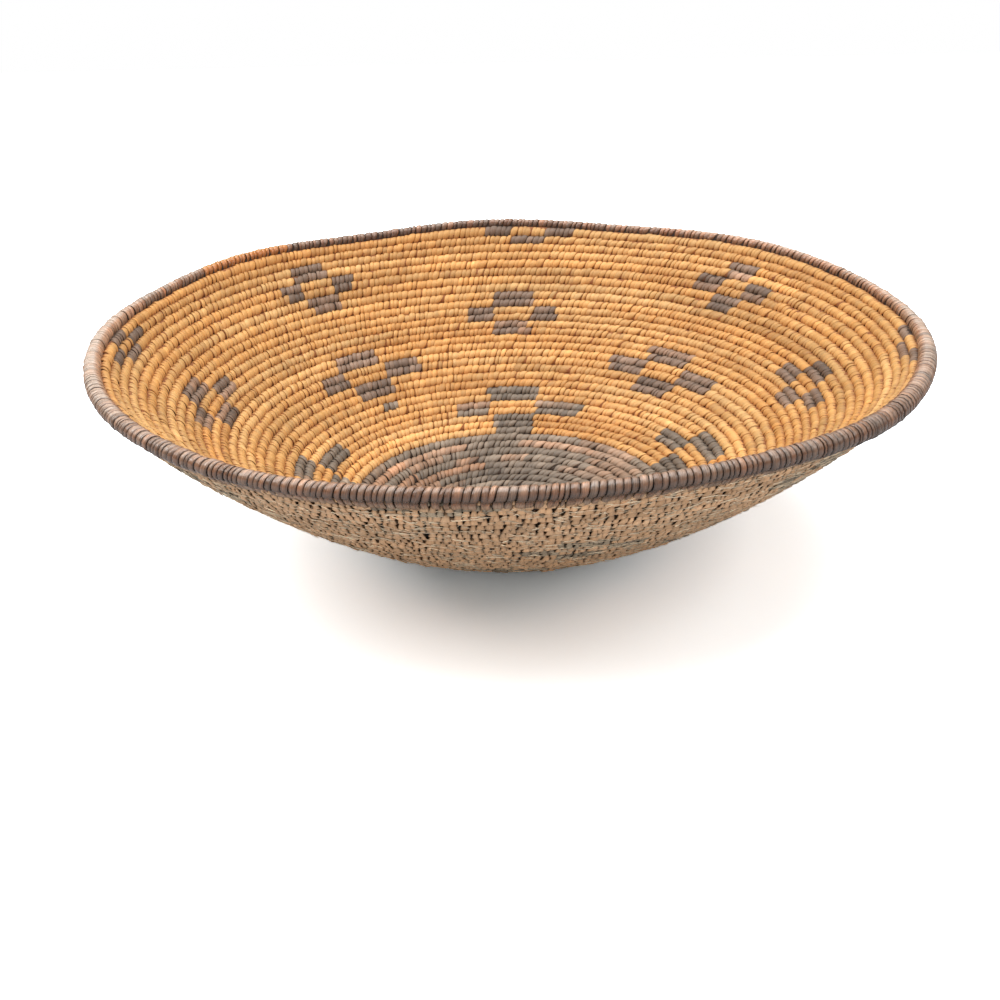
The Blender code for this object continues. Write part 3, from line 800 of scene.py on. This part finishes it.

# %% [markdown]
# The rim's splints are brown to grey, with one golden run at the back left. Some stretches are lighter,
# partly bleached by hands and partly painted sheen. So each stitch takes its colour from its direction
# and from chance, and a profile along its path makes it light on top, where it is rubbed and has a
# painted highlight, dark under the rim with painted shade, and dusty on the top course.

# %% The colours of the rim
RIM_BROWN = linear(148, 110, 84)
RIM_GREY = linear(138, 122, 109)
RIM_GOLD = linear(206, 146, 82)
# Near-black painted shade in the gaps between the rim's stitches
RIM_GAP_SHADE = linear(30, 20, 16)
RIM_LIGHTEST = 0.8                 # no part of the rim is lighter than this
GOLD_FROM, GOLD_TO = 131, 149      # directions of the golden run, in degrees
GOLD_SHARE = 0.96                  # share of its stitches that are golden
GREY_SPREAD, LIGHT_SPREAD, GOLD_SPREAD = 0.2, 0.2, 0.12
RIM_DUST = PALE_BACK * 0.5         # the colour of the lower ends
# Share of grey at some directions in degrees, and how light the rim is there: partly bleached splint,
# partly painted sheen, strongest at the left
RIM_TONES = np.array([
    (0, 0.8, 1.6), (40, 0.6, 1.4), (75, 0.5, 1.0), (100, 0.6, 0.7), (128, 0.5, 0.8), (160, 0.7, 1.2),
    (172, 0.9, 1.9), (180, 1.0, 2.5), (196, 1.1, 2.4), (208, 0.8, 1.3), (225, 0.3, 0.95), (255, 0.2, 0.95),
    (275, 0.4, 0.95), (300, 0.4, 0.7), (320, 0.2, 0.7), (332, 0.5, 1.0), (344, 0.8, 1.6),
])
# How light the splint is at some points along its path: hand wear and painted highlight on top, painted
# shade under the rim, lighter on the skirt
RIM_WEAR_AND_PAINTED_LIGHT = np.array([
    (0, 1.2), (2, 1.8), (4, 1.7), (5, 1.0), (6, 0.5), (8, 0.46), (9, 0.65), (10, 1.0), (11, 1.6), (12, 2.2),
    (13, 2.3), (14, 1.4), (15, 0.9), (16, 0.7),
])
SHADE_TINT_BELOW = 1.5                       # where the splint is painted darker than this, it takes the tint of the painted shade
RIM_SHADE = np.array([1.14, 0.87, 0.67])    # the warm brown tint of that painted shade
rim_degrees = np.degrees(rim_direction)
rim_grey = np.interp(rim_degrees, RIM_TONES[:, 0], RIM_TONES[:, 1], period=360)
rim_grey = np.clip(rim_grey + rim_chance.normal(0, GREY_SPREAD, rim_count), 0, 1)[:, None]
rim_bleach_and_sheen = np.interp(rim_degrees, RIM_TONES[:, 0], RIM_TONES[:, 2], period=360)
rim_bleach_and_sheen = (rim_bleach_and_sheen * np.exp(rim_chance.normal(0, LIGHT_SPREAD, rim_count)))[:, None]
rim_base = (RIM_BROWN * (1 - rim_grey) + RIM_GREY * rim_grey) * rim_bleach_and_sheen
is_gold = (rim_degrees > GOLD_FROM) & (rim_degrees < GOLD_TO)
is_gold &= rim_chance.uniform(0, 1, rim_count) < GOLD_SHARE
golden = RIM_GOLD * np.exp(rim_chance.normal(0, GOLD_SPREAD, (rim_count, 1)))
rim_base = np.where(is_gold[:, None], golden, rim_base)
# Painted shade along the edges of a splint, in the gaps between stitches, is darkest in front and faint at
# the back
rim_front = np.clip(0.6 - 0.6 * np.sin(rim_direction), 0.35, 1)[:, None, None, None]
rim_edge_shade = (np.abs(RIM_DOME[:, 0]) ** 3 * 0.85)[:, None] * rim_front
rim_wear_and_painted_light = np.interp(np.arange(RIM_LOOP), RIM_WEAR_AND_PAINTED_LIGHT[:, 0], RIM_WEAR_AND_PAINTED_LIGHT[:, 1])[:, None, None]
rim_wear_and_painted_light = rim_wear_and_painted_light * np.where(rim_wear_and_painted_light < SHADE_TINT_BELOW, RIM_SHADE, 1)
rim_colour = (rim_base[:, None, None] * (1 - rim_edge_shade) + RIM_GAP_SHADE * rim_edge_shade) * rim_wear_and_painted_light
rim_dust = np.interp(np.arange(RIM_LOOP), [0, 3, 5], [0.7, 0.4, 0])[:, None, None]
rim_colour = rim_colour * (1 - rim_dust) + RIM_DUST * rim_dust
rim_colour = rim_colour / np.maximum(rim_colour.max(axis=-1, keepdims=True) / RIM_LIGHTEST, 1)
rim_colour = np.broadcast_to(rim_colour, rim_points.shape)
rim_lie = np.stack(
    np.broadcast_arrays(
        (rim_share * 16)[:, None], RIM_DOME[:, 0] * 1.4, (np.arange(rim_count) * 5.3)[:, None, None]
    ),
    axis=-1,
)
rim_sewing = strips_mesh("rim_sewing", rim_points, rim_colour, rim_lie)
rim_sewing.data.materials.append(rim_splint)
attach(rim_sewing, "root")
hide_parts("rim_coil")
print("golden stitches of the rim:", int(is_gold.sum()))

# %% [markdown]
# The rim's own foundation fills the stitches, so that the gaps between them end in dark rods and not
# in daylight. Its near-black colour is painted shade in those gaps, lighter towards the back. Its foot
# reaches down between the stitches of the last course, which closes the joint where the rim is thin.
# It is a ring, so its last place joins its first.

# %% The foundation of the rim
FOOT_DEPTH = 0.9 * MM              # how far the foot reaches past the end of the wall
FOOT_TAPER = 0.35                  # share of its thickness that the foot loses
RING_GAP = 0.1 * MM                # between the ring and the splints over it
# Near-black painted shade for the gaps between the rim's stitches
RING_GAP_SHADE = linear(34, 24, 18)
ring_direction = np.linspace(0, 2 * math.pi, 241)
ring_around = np.linspace(0, 2 * math.pi, 12, endpoint=False)
ring_rise = rim_rise(ring_direction)[:, None]
ring_radius = RIM_RADIUS - RIM_SPLINT - ring_rise - RING_GAP
ring_foot = np.clip(-np.cos(ring_around), 0, 1) ** 2
ring_reach = ring_radius + (RIM_REACH + FOOT_DEPTH - ring_radius) * ring_foot
ring_points = wall_point(
    rim_distance + ring_rise + np.cos(ring_around) * ring_reach,
    ring_direction[:, None],
    np.sin(ring_around) * ring_radius * (1 - FOOT_TAPER * ring_foot) - RIM_SET_BACK,
)[None]
ring_lie = np.stack(
    np.broadcast_arrays(ring_direction[:, None] * 170, ring_around, 0.0), axis=-1
)[None]
ring_back_lighter = np.clip(np.sin(ring_direction), 0, 1)[:, None, None] * 2    # its painted shade is lighter towards the back
ring_colour = np.broadcast_to(RING_GAP_SHADE * (1 + ring_back_lighter), ring_points.shape)
rim_rods = strips_mesh("rim_foundation", ring_points, ring_colour, ring_lie)
rim_rods.data.materials.append(rod)
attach(rim_rods, "root")
print(rim_rods.name)

# %% [markdown]
# ## Loose fibres outside
# The outside was never rubbed smooth. Each splint is split there by the next stitch, and its torn
# edges stand out as pale hairs that mostly run along the courses. A particle system could scatter
# them, but each is a short strip with three sides, so the same mesh function makes them all.

# %% The fibres of the outside
FIBRES = 5000
FIBRE_POINTS = 7
FIBRE_LENGTH = 3.6 * MM            # of a usual fibre
FIBRE_THICKNESS = 0.13 * MM
FIBRE_LIFT = HALF_WALL + 0.32 * MM    # from the middle of the wall out to the stitches' backs
FIBRE_COLOUR = linear(255, 232, 200)
fibre_chance = np.random.default_rng(3)


def fibres():
    """Short hairs just off the outside, each wandering across its course and lifting at one end."""
    start = DARK_END + (LAST_TURN - 1.5 - DARK_END) * np.sqrt(fibre_chance.uniform(0.02, 1, FIBRES))
    length = np.exp(fibre_chance.normal(math.log(FIBRE_LENGTH), 0.5, FIBRES))
    wander = fibre_chance.normal(0, 2.0 * MM, FIBRES)
    bow = fibre_chance.normal(0, 1.1 * MM, FIBRES)
    raised = np.abs(fibre_chance.normal(0.15 * MM, 0.3 * MM, FIBRES))
    thick = FIBRE_THICKNESS * np.exp(fibre_chance.normal(0, 0.35, FIBRES))
    place = PITCH / 2 + fibre_chance.normal(0, 0.9 * MM, FIBRES)
    share = np.linspace(0, 1, FIBRE_POINTS)
    distance, _, direction = coil_place(start)
    radius = np.interp(distance, TABLE, RADII)
    across = place[:, None] + wander[:, None] * share + bow[:, None] * np.sin(math.pi * share)
    lift = -FIBRE_LIFT - raised[:, None] * share ** 2
    taper = np.interp(share, [0, 0.15, 0.7, 1], [0.4, 1, 0.9, 0.15]) * thick[:, None]
    corner = np.arange(3) * 2 * math.pi / 3
    points = wall_point(
        (distance[:, None] + across)[..., None] + np.cos(corner) * taper[..., None] * 1.6,
        (direction[:, None] + (length / radius)[:, None] * share)[..., None],
        lift[..., None] + np.sin(corner) * taper[..., None],
    )
    shade = np.exp(fibre_chance.normal(0, 0.2, FIBRES))[:, None, None, None]
    colours = np.broadcast_to(shade * FIBRE_COLOUR, points.shape)
    lie = np.stack(
        np.broadcast_arrays((share * 6)[None, :, None], corner * 0.1, (start * 9.1)[:, None, None]), axis=-1
    )
    return strips_mesh("loose_fibres", points, colours, lie)


loose = fibres()
loose.data.materials.append(rod)
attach(loose, "root")
print("fibres:", FIBRES)

# %% [markdown]
# ## Floor, light and camera
# The basket stands on a pale sheet in soft light from above and from both sides, with a little from
# the front. A white background could be had by flooding the scene with light, but that would bleach the
# basket. Instead the floor only looks white to the camera, and it still takes the basket's shadow.

# %% The floor
FLOOR = 1.5                        # half its width, in metres
FLOOR_SEEN = (2.6, 2.78, 2.9)      # to the camera: a little cold, because the basket's bounce is warm
FLOOR_BOUNCE = (0.64, 0.64, 0.64)  # to the basket
FLOOR_HEIGHT = -0.1 * MM           # just under the base
floor_mesh = bpy.data.meshes.new("floor")
floor_sides = ((-FLOOR, -FLOOR), (FLOOR, -FLOOR), (FLOOR, FLOOR), (-FLOOR, FLOOR))
floor_mesh.from_pydata([(*corner, FLOOR_HEIGHT) for corner in floor_sides], [], [(0, 1, 2, 3)])
floor = bpy.data.objects.new("floor", floor_mesh)
bpy.context.scene.collection.objects.link(floor)
floor_material = bpy.data.materials.new("pale_sheet")
floor_material.use_nodes = True
floor_nodes, floor_links = floor_material.node_tree.nodes, floor_material.node_tree.links
floor_shader = floor_nodes["Principled BSDF"]
floor_shader.inputs["Roughness"].default_value = 0.9
floor_shader.inputs["Specular IOR Level"].default_value = 0.0
seen_by = floor_nodes.new("ShaderNodeLightPath")
brightness = floor_nodes.new("ShaderNodeVectorMath")
brightness.operation = "MULTIPLY_ADD"
brightness.inputs[1].default_value = [seen - bounce for seen, bounce in zip(FLOOR_SEEN, FLOOR_BOUNCE)]
brightness.inputs[2].default_value = FLOOR_BOUNCE
floor_links.new(seen_by.outputs["Is Camera Ray"], brightness.inputs[0])
floor_links.new(brightness.outputs["Vector"], floor_shader.inputs["Base Color"])
floor_mesh.materials.append(floor_material)
print("floor", FLOOR * 2, "m wide")

# %% The lamps and the sky


def lamp(name, place, target, size, power):
    """A square soft lamp at a place, turned to a target."""
    light = bpy.data.lights.new(name, "AREA")
    light.shape = "SQUARE"
    light.size = size
    light.energy = power
    holder = bpy.data.objects.new(name, light)
    bpy.context.scene.collection.objects.link(holder)
    holder.location = place
    holder.rotation_euler = (Vector(target) - Vector(place)).to_track_quat("-Z", "Y").to_euler()
    return holder


lamp("overhead", (-0.1, 0.1, 1.5), (0, 0, 0), 1.7, 24)
lamp("left", (-1.3, 0.0, 1.05), (0, 0, 0.05), 0.7, 8.5)
lamp("right", (1.3, -0.3, 1.0), (0, 0, 0.05), 0.8, 5.5)
lamp("front", (-0.1, -1.5, 0.5), (0, 0, 0.02), 0.8, 2.5)
SKY = 0.27                         # strength of the sky's light; the camera sees it white
world = bpy.data.worlds.new("studio")
world.use_nodes = True
sky = world.node_tree.nodes["Background"]
sky.inputs["Color"].default_value = (1, 1, 1, 1)
sky_path = world.node_tree.nodes.new("ShaderNodeLightPath")
sky_level = world.node_tree.nodes.new("ShaderNodeMapRange")
sky_level.inputs["To Min"].default_value = SKY
sky_level.inputs["To Max"].default_value = 1.0
world.node_tree.links.new(sky_path.outputs["Is Camera Ray"], sky_level.inputs["Value"])
world.node_tree.links.new(sky_level.outputs["Result"], sky.inputs["Strength"])
bpy.context.scene.world = world
bpy.context.scene.view_settings.view_transform = "Standard"
print("lamps:", len(bpy.data.lights))

# %% [markdown]
# The camera stands about 0.6 m in front of the basket and looks down on it by about 24 degrees. Its
# place and turn were worked out from the rim, the rows and the silhouette in the photograph.

# %% The camera
CAMERA_PLACE = (0.0, -0.5983, 0.2850)
CAMERA_TURN = (65.776, 1.122, 0.039)   # degrees about X, Y and Z
FOCAL_PIXELS = 1475.0              # focal length in pixels of the photograph
PICTURE_PIXELS = 1000
camera_data = bpy.data.cameras.new("camera")
camera_data.sensor_width = 36
camera_data.lens = FOCAL_PIXELS / PICTURE_PIXELS * camera_data.sensor_width
camera_data.clip_start = 0.01
camera = bpy.data.objects.new("camera", camera_data)
camera.location = CAMERA_PLACE
camera.rotation_euler = [math.radians(value) for value in CAMERA_TURN]
bpy.context.scene.collection.objects.link(camera)
bpy.context.scene.camera = camera
print("lens", round(camera_data.lens, 2), "mm")
